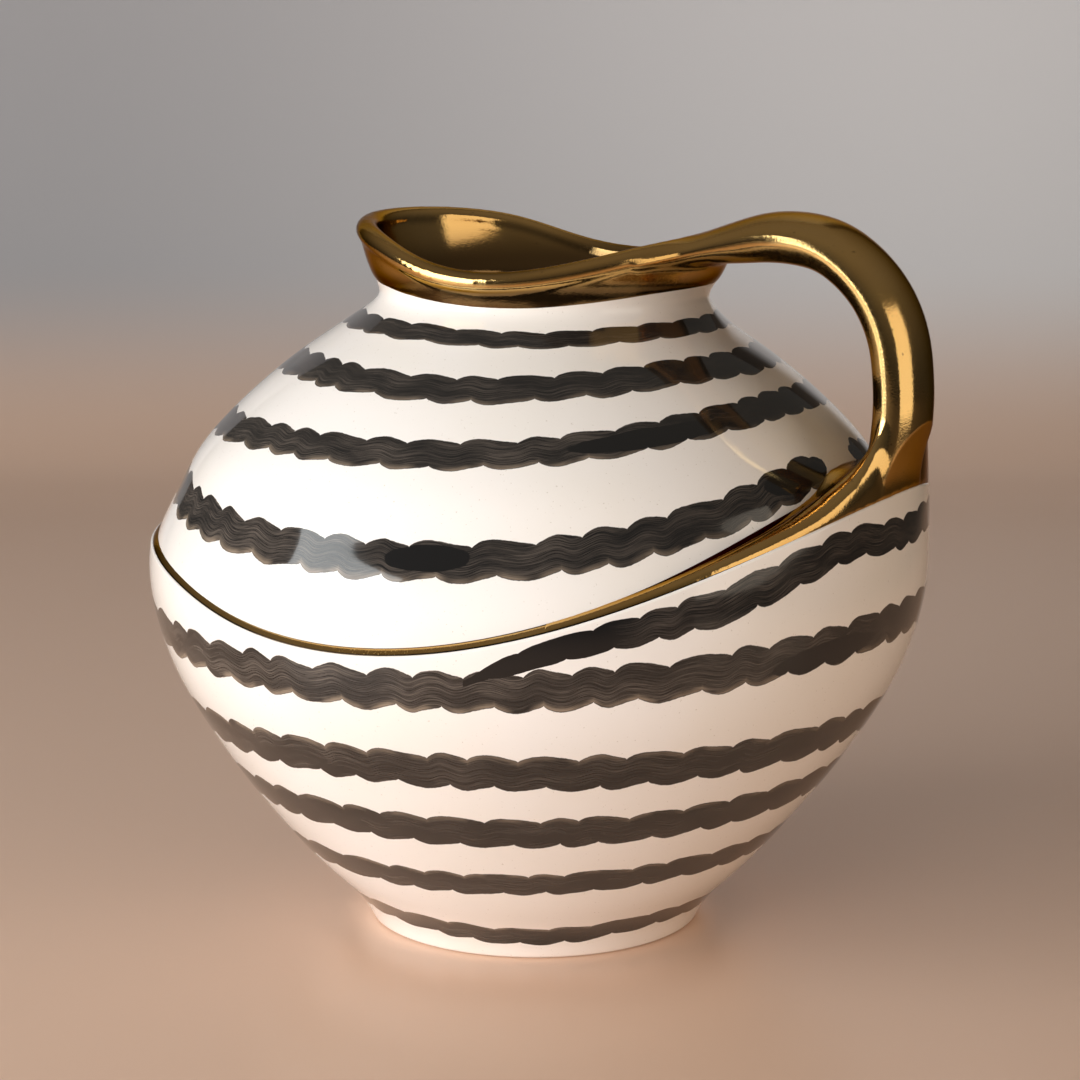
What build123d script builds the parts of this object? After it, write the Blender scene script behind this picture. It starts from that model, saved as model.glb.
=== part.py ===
from build123d import *
from math import cos, radians, sin
import os

os.makedirs("parts", exist_ok=True)

# A hydria jar in millimetres, standing on Z = 0 with the foot's centre at the origin.
# The handle is towards +X, the pouring end towards -X, and the jar is alike on both sides of XZ.
# Every piece is clay, luted to its neighbours with slip before firing, so their faces meet exactly.

# Foot
foot_radius = 61.7
foot_height = 5.0
foot_flare = 1.8
foot_edge = 1.2

# Lower bowl
belly_radius = 144.6
bowl_wall = 6.0
floor_thickness = 7.0
belly_lean = 8.4

# Ridge bead, the ledge where the dome drops into the bowl, low at the sides and high at both ends
ridge_low = 128.2
ridge_rise = 43.7
bead_height = 3.0
bead_edge = 0.6

# Shoulder dome
ledge_width = 3.4
dome_rise = 95.5
dome_wall = 5.5
dome_sink = 3.2

# Neck and mouth
neck_radius = 60.9
neck_rise = 17.5
neck_wall = 5.0
mouth_flare = 8.4
mouth_rise = 13.4
mouth_lean = 5.25

# Rim roll, high at both ends of the mouth and low at its sides
spout_rise = 16.4
grip_rise = 13.6
lip_thickness = 7.6
lip_overhang = 2.0
lip_inset = 1.0
lip_edge = 3.2

# Handle, an oval strap that leaves the rim, arches over and drops to the ledge
handle_dip = 2.8
handle_thickness = 18.8
handle_width = 34.0
handle_sink = 12.0

# Wings, the skirts that run from the handle down to the ledge on both sides
wing_spread = 60.0
wing_lift = 30.0
wing_inset = 0.8
wing_crest = 7.0
wing_thickness = 5.0
wing_depth = 19.0
wing_sink = 3.0
wing_toe = 0.5

# One overrun serves every cut that passes right through
overrun = 12.0

# Heights and radii that follow from the sizes above
bowl_height = ridge_low + ridge_rise
dome_radius = belly_radius - ledge_width
mouth_radius = neck_radius + mouth_flare
dome_bottom = ridge_low - bead_height - dome_sink
neck_joint = dome_bottom + dome_rise
neck_height = neck_joint + neck_rise
lip_low_height = neck_height + mouth_rise
neck_top = lip_low_height + spout_rise + lip_edge
handle_start = mouth_lean + mouth_radius - neck_wall / 2
handle_crown = lip_low_height + grip_rise - handle_dip

# Rings of the bowl: share of its height, of its swell over the foot, and of its lean to the handle
bowl_shares = [
    (0.0, 0.0, 0.0),
    (0.026, 0.027, 0.0),
    (0.105, 0.204, 0.0),
    (0.217, 0.411, 0.0),
    (0.329, 0.591, 0.05),
    (0.442, 0.746, 0.10),
    (0.554, 0.877, 0.13),
    (0.665, 0.959, 0.15),
    (0.772, 0.997, 0.18),
    (0.880, 0.984, 0.34),
    (1.0, 0.915, 1.0),
    (1.048, 0.877, 1.34),
]
floor_first_ring = 2

# Rings of the dome: share of its height and of its radius
dome_shares = [
    (0.0, 0.989),
    (0.115, 1.0),
    (0.225, 0.998),
    (0.325, 0.975),
    (0.461, 0.928),
    (0.586, 0.882),
    (0.725, 0.802),
    (0.863, 0.700),
    (1.0, 0.578),
]
dome_shoulder_shares = (0.93, 0.645)

# Rings of the throat: share of the rise from dome to neck, of the neck's radius and of the lean
throat_shares = [(0.314, 1.208, 0.06), (0.617, 1.096, 0.28)]

# Rings of the mouth: share of the height over the neck, of its flare and of its lean
mouth_shares = [
    (0.0, 0.0, 0.70),
    (0.215, 0.30, 0.95),
    (0.446, 0.67, 1.0),
    (0.708, 0.91, 1.0),
    (1.0, 1.0, 1.0),
]
lip_first_ring = 4

# The lip seen from the side: share of the mouth's reach from its centre, and of the rise over its
# low point, towards the pouring end and then towards the handle
spout_shares = [(-1.0, 1.0), (-0.6, 0.69), (-0.28, 0.24)]
grip_shares = [(0.13, 0.0), (0.52, 0.27), (1.0, 1.0)]

# The handle's stations: share of its reach, share of its drop, slope in degrees, and shares of its
# thickness and its width
handle_shares = [
    (0.0, 0.077, 14.0, 0.90, 1.42),
    (0.16, 0.030, 11.0, 0.96, 1.14),
    (0.385, 0.0, 0.0, 1.0, 1.02),
    (0.62, 0.031, -22.0, 1.0, 1.0),
    (0.833, 0.157, -52.0, 1.0, 1.0),
    (0.961, 0.358, -75.0, 1.0, 1.0),
    (1.0, 0.564, -90.0, 1.0, 1.0),
    (0.986, 0.680, -97.0, 1.0, 1.05),
    (0.945, 0.790, -104.0, 1.0, 1.20),
    (0.895, 0.890, -104.0, 1.0, 1.55),
]

# A wing's sections: share of its spread, its lift, its crest's inset, its thickness and its depth
wing_shares = [
    (0.07, 1.0, 0.85, 1.0, 0.72),
    (0.18, 0.66, 0.90, 1.0, 0.84),
    (0.31, 0.43, 1.0, 0.90, 0.92),
    (0.45, 0.28, 1.0, 0.80, 0.85),
    (0.60, 0.19, 0.90, 0.60, 0.66),
    (0.78, 0.13, 0.70, 0.40, 0.46),
    (1.0, 0.05, 0.50, 0.20, 0.30),
]


# The ledge seen from the side is a parabola
def ridge_height(x):
    return ridge_low + ridge_rise * (x / belly_radius) ** 2


# The lip's top seen from the side, as points from the pouring end to the handle
def lip_points(drop):
    reach = mouth_radius + lip_overhang
    low = lip_low_height - drop
    spout = [(mouth_lean + out * reach, low + up * spout_rise) for out, up in spout_shares]
    grip = [(mouth_lean + out * reach, low + up * grip_rise) for out, up in grip_shares]
    return spout + grip


# Rings of the bowl as height, radius and lean
def bowl_rings(inwards):
    start = foot_radius + foot_flare
    rings = []
    for up, out, lean in bowl_shares:
        height = foot_height + up * (bowl_height - foot_height)
        rings.append((height, start + out * (belly_radius - start) - inwards, lean * belly_lean))
    return rings


# The dome's side as radius and height, for turning
def dome_side(inwards):
    return [(out * dome_radius - inwards, dome_bottom + up * dome_rise) for up, out in dome_shares]


# Rings of the neck and the mouth as height, radius and lean, from a little way down the dome
def neck_rings(dome_inwards, neck_inwards):
    rings = []
    for up, out in (dome_shoulder_shares, dome_shares[-1]):
        rings.append((dome_bottom + up * dome_rise, out * dome_radius - dome_inwards, 0.0))
    for up, out, lean in throat_shares:
        rings.append((neck_joint + up * neck_rise, out * neck_radius - neck_inwards, lean * mouth_lean))
    for up, out, lean in mouth_shares:
        radius = neck_radius + out * (mouth_radius - neck_radius) - neck_inwards
        rings.append((neck_height + up * (neck_top - neck_height), radius, lean * mouth_lean))
    return rings


# A turned body about the jar's axis, closed level at its bottom and top
def turned(side):
    with BuildPart() as body:
        with BuildSketch(Plane.XZ):
            with BuildLine():
                Spline(side)
                Polyline(side[-1], (0, side[-1][1]), (0, side[0][1]), side[0])
            make_face()
        revolve(axis=Axis.Z)
    return body.part


# A smooth closed body through level circles
def stacked(rings):
    with BuildPart() as body:
        for height, radius, lean in rings:
            with BuildSketch(Plane((lean, 0, height))):
                Circle(radius)
        loft()
    return body.part


# Everything below the ledge's parabola, lowered by a drop
def under_ridge(drop):
    reach = belly_radius + overrun
    side = ridge_height(reach) - drop
    middle = 2 * (ridge_low - drop) - side
    with BuildPart() as body:
        with BuildSketch(Plane.XZ):
            with BuildLine():
                Bezier((-reach, side), (0, middle), (reach, side))
                Polyline((reach, side), (reach, -overrun), (-reach, -overrun), (-reach, side))
            make_face()
        extrude(amount=reach, both=True)
    return body.part


# Everything between the dome's top and the lip's saddle, lowered by a drop
def under_lip(drop):
    points = lip_points(drop)
    climb = overrun * grip_rise / mouth_radius
    left = (points[0][0] - overrun, points[0][1])
    right = (points[-1][0] + overrun, points[-1][1] + climb)
    with BuildPart() as body:
        with BuildSketch(Plane.XZ):
            with BuildLine():
                Spline([left] + points + [right])
                Polyline(right, (right[0], neck_joint), (left[0], neck_joint), left)
            make_face()
        extrude(amount=mouth_radius + overrun, both=True)
    return body.part


# The handle is lofted through oval sections along its way from the rim to the ledge
def handle_loft():
    reach = belly_radius - handle_start
    drop = handle_crown - ridge_height(belly_radius) + handle_sink
    with BuildPart() as body:
        for out, down, slope, thick, wide in handle_shares:
            place = (handle_start + out * reach, 0, handle_crown - down * drop)
            way = (cos(radians(slope)), 0, sin(radians(slope)))
            with BuildSketch(Plane(place, x_dir=(0, 1, 0), z_dir=way)):
                Ellipse(wide * handle_width / 2, thick * handle_thickness / 2)
        loft()
    return body.part


# A wing is lofted through upright sections that turn about the jar's axis from the handle to its tip.
# Each section flares up from the ledge to a round crest and falls behind it to the dome.
def wing_loft(side):
    edge = belly_radius - wing_inset
    with BuildPart() as body:
        for turn, lift, inset, thick, depth in wing_shares:
            angle = radians(side * turn * wing_spread)
            ledge = ridge_height(edge * cos(angle))
            toe = ledge + wing_toe
            top = toe + lift * wing_lift
            peak = edge - inset * wing_crest
            behind = peak - thick * wing_thickness
            crown = ((peak + behind) / 2, top + (peak - behind) / 2)
            back = edge - depth * wing_depth
            outwards = (cos(angle), sin(angle), 0)
            with BuildSketch(Plane((0, 0, 0), x_dir=outwards, z_dir=(sin(angle), -cos(angle), 0))):
                with BuildLine():
                    Bezier((edge, toe), (peak, toe), (peak, top))
                    ThreePointArc((peak, top), crown, (behind, top))
                    Bezier((behind, top), (behind, toe), (back, toe))
                    Polyline((back, toe), (back, ledge - wing_sink), (edge, ledge - wing_sink), (edge, toe))
                make_face()
        loft()
    return body.part


# Shapes that several pieces share, so that they meet face to face
bowl_outside = stacked(bowl_rings(0.0))
floor_ring = (foot_height + floor_thickness, foot_radius - bowl_wall / 2, 0.0)
bowl_inside = stacked([floor_ring] + bowl_rings(bowl_wall)[floor_first_ring:])
dome_outside = turned(dome_side(0.0))
dome_inside = turned(dome_side(dome_wall))
neck_outside = stacked(neck_rings(0.0, 0.0))
neck_inside = stacked(neck_rings(dome_wall, neck_wall))
lip_outside = stacked(neck_rings(0.0, -lip_overhang)[lip_first_ring:])
lip_inside = stacked(neck_rings(dome_wall, neck_wall + lip_inset)[lip_first_ring:])
below_bead = under_ridge(bead_height)
below_ledge = under_ridge(0.0)
below_roll = under_lip(lip_thickness)
below_lip = under_lip(0.0)
whole_handle = handle_loft()
whole_wings = {"root_wing_front": wing_loft(-1), "root_wing_back": wing_loft(1)}

# Foot, a low turned disc with a flat underside
with BuildPart() as foot:
    with BuildSketch(Plane.XZ):
        Polygon(
            (0, 0),
            (foot_radius, 0),
            (foot_radius + foot_flare, foot_height),
            (0, foot_height),
            align=None,
        )
    revolve(axis=Axis.Z)
    chamfer(foot.edges().group_by(Axis.Z)[0], foot_edge)
foot.part.label = "foot"
export_step(foot.part, "parts/foot.step")

# Lower bowl with its floor, open at the top where the saddle of the ledge cuts it
with BuildPart() as lower_bowl:
    add(bowl_outside)
    add(bowl_inside, mode=Mode.SUBTRACT)
    add(below_bead, mode=Mode.INTERSECT)
lower_bowl.part.label = "lower_bowl"
export_step(lower_bowl.part, "parts/lower_bowl.step")

# Shoulder dome, which stands on the bowl's inner edge and leaves the outer edge free
with BuildPart() as shoulder_dome:
    add(dome_outside)
    add(dome_inside, mode=Mode.SUBTRACT)
    add(below_bead, mode=Mode.SUBTRACT)
shoulder_dome.part.label = "shoulder_dome"
export_step(shoulder_dome.part, "parts/shoulder_dome.step")

# Ridge bead, the coil laid on the bowl's free edge; it widens to a ledge under the handle
with BuildPart() as ridge_bead:
    add(bowl_outside)
    add(below_ledge, mode=Mode.INTERSECT)
    add(below_bead, mode=Mode.SUBTRACT)
    add(dome_outside, mode=Mode.SUBTRACT)
    outer_edges = ridge_bead.edges().sort_by(SortBy.LENGTH)[-4:]
    chamfer(outer_edges.sort_by(Axis.Z)[-2:], bead_edge)
ridge_bead.part.label = "ridge_bead"
export_step(ridge_bead.part, "parts/ridge_bead.step")

# Neck, flaring to the mouth, cut to the saddle that the roll sits on
with BuildPart() as neck:
    add(neck_outside)
    add(below_roll, mode=Mode.INTERSECT)
    split(bisect_by=Plane.XY.offset(neck_joint), keep=Keep.TOP)
    add(neck_inside, mode=Mode.SUBTRACT)
neck.part.label = "neck"
export_step(neck.part, "parts/neck.step")

# Rim roll, a rounded coil all round the mouth that overhangs the neck a little, inside and out
with BuildPart() as rim_roll:
    add(lip_outside)
    add(lip_inside, mode=Mode.SUBTRACT)
    add(below_lip, mode=Mode.INTERSECT)
    add(below_roll, mode=Mode.SUBTRACT)
    long_edges = rim_roll.edges().filter_by(lambda edge: edge.length > mouth_radius).sort_by(Axis.Z)
    top_edges, low_edges = long_edges[-4:], long_edges[:4].sort_by(SortBy.LENGTH)
    fillet(top_edges, lip_edge)
    fillet(low_edges[-2:], lip_overhang)
    fillet(low_edges[:2], lip_inset)
rim_roll.part.label = "rim_roll"
export_step(rim_roll.part, "parts/rim_roll.step")

# Handle, seated on the neck, the roll, the ledge and the dome
with BuildPart() as handle:
    add(whole_handle)
    add(neck_outside, mode=Mode.SUBTRACT)
    add(rim_roll.part, mode=Mode.SUBTRACT)
    add(below_ledge, mode=Mode.SUBTRACT)
    add(dome_outside, mode=Mode.SUBTRACT)
handle.part.label = "handle"
export_step(handle.part, "parts/handle.step")

# The two wings, seated on the ledge between the handle's sides and the dome
for name, whole_wing in whole_wings.items():
    with BuildPart() as root_wing:
        add(whole_wing)
        add(below_ledge, mode=Mode.SUBTRACT)
        add(dome_outside, mode=Mode.SUBTRACT)
        add(handle.part, mode=Mode.SUBTRACT)
    root_wing.part.label = name
    export_step(root_wing.part, f"parts/{name}.step")
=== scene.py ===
import math
import bmesh
import bpy
import numpy as np
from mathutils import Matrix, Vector


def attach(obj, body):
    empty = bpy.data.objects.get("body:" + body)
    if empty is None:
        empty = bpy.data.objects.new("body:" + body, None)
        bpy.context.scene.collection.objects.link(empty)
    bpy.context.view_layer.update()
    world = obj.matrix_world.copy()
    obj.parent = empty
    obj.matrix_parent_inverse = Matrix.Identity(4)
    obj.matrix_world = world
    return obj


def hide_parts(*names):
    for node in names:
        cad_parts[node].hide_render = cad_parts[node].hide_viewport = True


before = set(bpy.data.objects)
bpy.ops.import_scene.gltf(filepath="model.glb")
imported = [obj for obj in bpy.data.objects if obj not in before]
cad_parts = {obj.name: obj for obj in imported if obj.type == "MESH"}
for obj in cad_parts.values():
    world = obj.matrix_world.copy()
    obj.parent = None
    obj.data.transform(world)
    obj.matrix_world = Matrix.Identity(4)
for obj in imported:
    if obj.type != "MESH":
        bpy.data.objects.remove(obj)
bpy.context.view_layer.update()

mm = 0.001
print("frame loaded")

# the clay body in millimetres: the heights of its rings, their radii, and their lean to the handle
bodyShape = {
    "footHeight": 5.0, "slip": 0.1, "bowlWall": 6.0, "domeWall": 5.5,
    "bowlHeights": [0, 5, 9.34, 22.5, 41.2, 59.9, 78.8, 97.5, 116, 133.8, 151.9, 171.9, 180],
    "bowlRadii": [62.0, 64.6, 67.4, 80.2, 96.8, 111.4, 124.0, 134.6, 141.3, 144.4, 143.3, 137.7, 134.6],
    "bowlLeans": [0, 0, 0, 0, 0, 0.4, 0.8, 1.1, 1.3, 1.5, 2.9, 8.4, 11.3],
    "domeHeights": [
        122, 133, 143.5, 153, 166, 178, 191.2, 204.4, 217.5, 223, 228.3, 235, 242.1, 249.7, 258.4, 268],
    "domeRadii": [
        139.6, 141.2, 140.9, 137.7, 131, 124.5, 113.2, 98.8, 81.6, 73.6, 66.7, 60.9, 63.4, 66.5, 68.5, 69.3],
    "domeLeans": [0, 0, 0, 0, 0, 0, 0, 0, 0, 0.3, 1.5, 3.7, 5.0, 5.25, 5.25, 5.25],
}
# side view of the ledge: its climb from the middle, and its own line at the pouring end
ledgeShape = {
    "low": 128.2, "rise": 43.7, "reach": 144.6,
    "spoutReach": [-143, -125, -107.5, -90.6, -78.6, -67.4, -55],
    "spoutHeights": [148.0, 147.0, 145.2, 142.4, 140.0, 137.4, 134.5],
}
around = 480   # points in a ring


# natural cubic through a few points, level outside them
def splineThrough(xs, ys):
    x, y = np.array(xs, float), np.array(ys, float)
    n, h = len(x), np.diff(x)
    a, b = np.eye(n), np.zeros(n)
    for i in range(1, n - 1):
        a[i, i - 1], a[i, i], a[i, i + 1] = h[i - 1], 2 * (h[i - 1] + h[i]), h[i]
        b[i] = 6 * ((y[i + 1] - y[i]) / h[i] - (y[i] - y[i - 1]) / h[i - 1])
    m = np.linalg.solve(a, b)

    def at(q):
        q = np.clip(np.asarray(q, float), x[0], x[-1])
        k = np.clip(np.searchsorted(x, q, side="right") - 1, 0, n - 2)
        left, right = q - x[k], x[k + 1] - q
        bent = (m[k] * right ** 3 + m[k + 1] * left ** 3) / (6 * h[k])
        return bent + (y[k] / h[k] - m[k] * h[k] / 6) * right + (y[k + 1] / h[k] - m[k + 1] * h[k] / 6) * left
    return at


# a value given each 30 degrees from the handle round to the pouring end, alike on both sides
def roundTheJar(values):
    knots = np.arange(len(values)) * 30.0
    at = splineThrough(np.concatenate([-knots[:0:-1], knots]), list(values[:0:-1]) + list(values))
    return lambda degrees: at((np.asarray(degrees) + 180) % 360 - 180)


bowlRadius = splineThrough(bodyShape["bowlHeights"], bodyShape["bowlRadii"])
bowlLean = splineThrough(bodyShape["bowlHeights"], bodyShape["bowlLeans"])
domeRadius = splineThrough(bodyShape["domeHeights"], bodyShape["domeRadii"])
domeLean = splineThrough(bodyShape["domeHeights"], bodyShape["domeLeans"])
spoutLedge = splineThrough(ledgeShape["spoutReach"], ledgeShape["spoutHeights"])
turn = np.arange(around) * 2 * math.pi / around


# side view of the ledge: it climbs as a parabola to the handle and levels out at the pouring end
def ridgeAt(x):
    climb = ledgeShape["low"] + ledgeShape["rise"] * (x / ledgeShape["reach"]) ** 2
    return np.where(np.asarray(x) < ledgeShape["spoutReach"][-1], spoutLedge(x), climb)


# height of the bowl's lip at an angle about the axis
def lipAt(angle):
    height = ridgeAt(ledgeShape["reach"] * np.cos(angle))
    for step in range(30):
        height = 0.5 * height + 0.5 * ridgeAt(bowlLean(height) + bowlRadius(height) * np.cos(angle))
    return height


lipHeight = lipAt(turn)


# one level ring of points, leaning to the handle
def ring(height, radius, lean, angle=turn):
    height = np.broadcast_to(height, angle.shape)
    return np.stack([lean + radius * np.cos(angle), radius * np.sin(angle), height], 1)


# a mesh of closed rings, each a row of the same number of points
def meshOfRings(name, rows, closed=False, capStart=False, capEnd=False):
    rows = np.array(rows)
    count, width = rows.shape[:2]
    i = np.arange(width)
    j = (i + 1) % width
    faces = []
    for r in range(count if closed else count - 1):
        low, high = r * width, ((r + 1) % count) * width
        faces += np.stack([low + i, low + j, high + j, high + i], 1).tolist()
    if capStart:
        faces.append(i[::-1].tolist())
    if capEnd:
        faces.append((i + (count - 1) * width).tolist())
    mesh = bpy.data.meshes.new(name)
    mesh.from_pydata((rows.reshape(-1, 3) * mm).tolist(), [], faces)
    mesh.update()
    for polygon in mesh.polygons:
        polygon.use_smooth = True
    mesh.set_sharp_from_angle(angle=math.radians(50))   # sharper corners than this stay crisp
    piece = bpy.data.objects.new(name, mesh)
    bpy.context.scene.collection.objects.link(piece)
    return piece


# foot, a low turned disc whose side runs on into the bowl
footShape = {
    "hollow": 0.35, "hollowReach": [1.0, 30.0, 52.0], "treadReach": [53.5, 59.0], "round": 1.2, "top": 60.0,
}
footTop = bodyShape["footHeight"] - bodyShape["slip"]
rows = [ring(footShape["hollow"], reach, 0) for reach in footShape["hollowReach"]]
rows += [ring(0.0, reach, 0) for reach in footShape["treadReach"]]
for a in np.linspace(-90, -10, 8):
    r = footShape["round"]
    z = r + r * math.sin(math.radians(a))
    rows.append(ring(z, float(bowlRadius(z)) - r + r * math.cos(math.radians(a)), 0))
for z in np.linspace(footShape["round"], footTop, 5):
    rows.append(ring(z, float(bowlRadius(z)), 0))
rows.append(ring(footTop, footShape["top"], 0))
footBase = meshOfRings("footBase", rows, capStart=True, capEnd=True)

# lower bowl: outside, rounded lip, inside and floor
bowlShape = {
    "bottom": [1.0, 60.0], "outsideRings": 190, "lipRound": 0.9, "lipStep": 2.2, "lipDrop": 0.3,
    "insideRings": 60, "insideDrop": 3.5, "insideLow": 16, "floor": [(13.0, 63.0), (12.0, 58.0), (12.0, 1.0)],
}
rows = [ring(footTop, reach, 0) for reach in bowlShape["bottom"]]
lipRound, insideDrop = bowlShape["lipRound"], bowlShape["insideDrop"]
edgeHeight = lipHeight - lipRound
for t in np.linspace(0, 1, bowlShape["outsideRings"]):
    z = footTop + t * (edgeHeight - footTop)
    rows.append(ring(z, bowlRadius(z), bowlLean(z)))
edgeRadius, edgeLean = bowlRadius(edgeHeight), bowlLean(edgeHeight)
for a in np.linspace(15, 90, 6):
    reach = edgeRadius - lipRound + lipRound * math.cos(math.radians(a))
    rows.append(ring(edgeHeight + lipRound * math.sin(math.radians(a)), reach, edgeLean))
rows.append(ring(lipHeight - bowlShape["lipDrop"], edgeRadius - bowlShape["lipStep"], edgeLean))
for t in np.linspace(0, 1, bowlShape["insideRings"]):
    z = (lipHeight - insideDrop) + t * (bowlShape["insideLow"] - lipHeight + insideDrop)
    rows.append(ring(z, bowlRadius(z) - bodyShape["bowlWall"], bowlLean(z)))
rows += [ring(z, reach, 0) for z, reach in bowlShape["floor"]]
lowerBowl = meshOfRings("lowerBowl", rows, capStart=True, capEnd=True)

# dome and neck in one sweep, up outside and down inside; the top tucks in under the gold
domeShape = {
    "top": 245.0, "sunk": 2.0, "insideDrop": 1, "outsideRings": 170, "insideRings": 90,
    "tuckFrom": 240, "tuck": 0.25,
}
domeTop, sunk = domeShape["top"], domeShape["sunk"]
rows = []
for t in np.linspace(0, 1, domeShape["outsideRings"]):
    z = (lipHeight - sunk) + t * (domeTop - lipHeight + sunk)
    tuck = np.where(z > domeShape["tuckFrom"], (z - domeShape["tuckFrom"]) * domeShape["tuck"], 0)
    rows.append(ring(z, domeRadius(z) - tuck, domeLean(z)))
for t in np.linspace(0, 1, domeShape["insideRings"]):
    z = (domeTop - domeShape["insideDrop"]) + t * (lipHeight - sunk - domeTop + domeShape["insideDrop"])
    rows.append(ring(z, domeRadius(z) - bodyShape["domeWall"], domeLean(z)))
domeAndNeck = meshOfRings("domeAndNeck", rows, closed=True)

# ridge line: the gold ledge that slopes from the bowl's lip up to the dome
lineShape = {
    "inset": 0.75, "lift": 0.05, "rise": 2.3, "sink": 1.6, "bite": 0.8, "rings": 13,
    "crown": 0.4, "crownEnd": 0.87, "crownPitch": 1.15, "crownBend": 0.8,
    # darkPlaces and darkness place the painted shade along the line's two edges
    "darkPlaces": [0, 0.36, 0.74], "darkness": [1, 0, 1],
}
outerRadius, outerLean = bowlRadius(lipHeight) - lineShape["inset"], bowlLean(lipHeight)
outerX, outerY = outerLean + outerRadius * np.cos(turn), outerRadius * np.sin(turn)
innerRadius = domeRadius(lipHeight + lineShape["rise"]) - lineShape["bite"]
innerX, innerY = innerRadius * np.cos(turn), innerRadius * np.sin(turn)
acrossSteps = np.linspace(0, 1, lineShape["rings"])
rows = []
for t in acrossSteps:
    up = lipHeight + lineShape["lift"] + t * lineShape["rise"]
    if t < lineShape["crownEnd"]:
        bulge = math.sin(math.pi * min(1, t * lineShape["crownPitch"])) ** lineShape["crownBend"]
        up = up + lineShape["crown"] * bulge
    rows.append(np.stack([outerX + (innerX - outerX) * t, outerY + (innerY - outerY) * t, up], 1))
rows.append(np.stack([innerX, innerY, lipHeight - lineShape["sink"]], 1))
rows.append(np.stack([outerX, outerY, lipHeight - lineShape["sink"]], 1))
ridgeBead = meshOfRings("ridgeLine", rows, closed=True)
# the line gets painted shade along both edges, standing for the dark its rounded edges reflect, and the two
# hidden rows count as edges
darkRows = np.append(np.interp(acrossSteps, lineShape["darkPlaces"], lineShape["darkness"]), [1.0, 1.0])
lineEdge = ridgeBead.data.attributes.new("lineEdge", "FLOAT", "POINT")
lineEdge.data.foreach_set("value", np.repeat(darkRows, around))
print("body and ridge made")

# mouth, handle and wings, cast as one gold form
mouthShape = {
    "lean": 5.25, "rollWide": 4.2, "rollHigh": 3.9, "rollIn": 2.7, "rollAngles": (-44, 200, 28),
    "skirtUnder": 3, "skirtStop": 3.4, "tuckPlaces": [-3, 0, 1.2, 3], "tuck": [-1.4, 0.0, 0.25, 0.3],
    "lining": 6.6, "liningThick": 3.0, "liningTop": 1.5, "liningUnder": 4, "deep": 214.0,
    "firstTop": 255.0, "seatDrop": 4, "seatIn": 1.5, "skirtRows": 14, "liningRows": 18, "backRows": 10,
    "lipReach": [-66.0, -37.5, -14.7, 14.5, 42.3, 76.6],
    "lipHeights": [264.8, 259.7, 252.3, 248.4, 252.1, 262.0],
    "goldBorder": [240.6, 239.1, 236.2, 236.0, 238.7, 241.8, 243.5],
}
lipTop = splineThrough(mouthShape["lipReach"], mouthShape["lipHeights"])
goldBorder = roundTheJar(mouthShape["goldBorder"])


# the mouth's section all round: gold skirt on the neck, rolled rim, lining inside and its hidden back
def mouthRows():
    top = np.full(around, mouthShape["firstTop"])
    for step in range(20):
        seat = domeRadius(top - mouthShape["seatDrop"]) - mouthShape["seatIn"]
        top = lipTop(mouthShape["lean"] + seat * np.cos(turn))
    border = goldBorder(np.degrees(turn))
    middle = top - mouthShape["rollHigh"]
    centre = domeRadius(middle) - mouthShape["rollIn"]
    under, deep = mouthShape["skirtUnder"], mouthShape["deep"]
    sections = []
    for t in np.linspace(0, 1, mouthShape["skirtRows"]):
        z = border - under + t * (middle - mouthShape["skirtStop"] - border + under)
        hide = np.interp(z - border, mouthShape["tuckPlaces"], mouthShape["tuck"])
        sections.append((z, domeRadius(z) + hide, domeLean(z)))
    for a in np.linspace(*mouthShape["rollAngles"]):
        z = middle + mouthShape["rollHigh"] * math.sin(math.radians(a))
        r = centre + mouthShape["rollWide"] * math.cos(math.radians(a))
        sections.append((z, r, domeLean(z)))
    for t in np.linspace(0.06, 1, mouthShape["liningRows"]):
        z = (middle - mouthShape["liningTop"]) + t * (deep - middle + mouthShape["liningTop"])
        sections.append((z, domeRadius(z) - mouthShape["lining"], domeLean(z)))
    for t in np.linspace(0.0, 1, mouthShape["backRows"]):
        z = deep + t * (border - mouthShape["liningUnder"] - deep)
        sections.append((z, domeRadius(z) - mouthShape["lining"] + mouthShape["liningThick"], domeLean(z)))
    return [ring(z, r, lean) for z, r, lean in sections]


# the handle's stations along its middle line, and its half thickness and half width there
handleShape = {
    "reach": [60.0, 66.0, 71.0, 77.0, 84.0, 94.5, 104.9, 116.2, 125.8,
              133.7, 139.1, 142.7, 144.3, 144.7, 144.4, 143.6, 142.4, 141.0],
    "height": [250.6, 252.6, 254.3, 255.8, 257.2, 259.0, 259.0, 256.6, 250.9,
               243.1, 234.5, 224.3, 212.9, 205.0, 197.0, 188.0, 177.0, 166.0],
    "halfThick": [4.4, 5.0, 5.8, 6.7, 7.7, 8.8, 9.3, 9.4, 9.4, 9.4, 9.4, 9.4, 9.4, 9.4, 9.4, 9.4, 9.0, 8.0],
    "halfWide": [42.0, 35.5, 29.0, 24.2, 20.8, 18.0, 17.1, 17.0, 17.0,
                 17.0, 17.0, 17.0, 17.0, 17.0, 17.2, 17.6, 18.4, 19.5],
    "pointsAround": 72, "stations": 170,
}


def handleRows():
    steps = np.hypot(np.diff(handleShape["reach"]), np.diff(handleShape["height"]))
    run = np.concatenate([[0], np.cumsum(steps)])
    curves = [splineThrough(run, handleShape[k]) for k in ("reach", "height", "halfThick", "halfWide")]
    loops = []
    angles = np.arange(handleShape["pointsAround"]) * 2 * math.pi / handleShape["pointsAround"]
    for s in np.linspace(0, run[-1], handleShape["stations"]):
        x, z, thick, wide = (float(c(s)) for c in curves)
        dx, dz = (float(c(s + 0.5) - c(s - 0.5)) for c in curves[:2])
        size = math.hypot(dx, dz)
        upX, upZ = -dz / size, dx / size
        up = thick * np.sin(angles)
        loops.append(np.stack([x + upX * up, wide * np.cos(angles), z + upZ * up], 1))
    return loops


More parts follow.
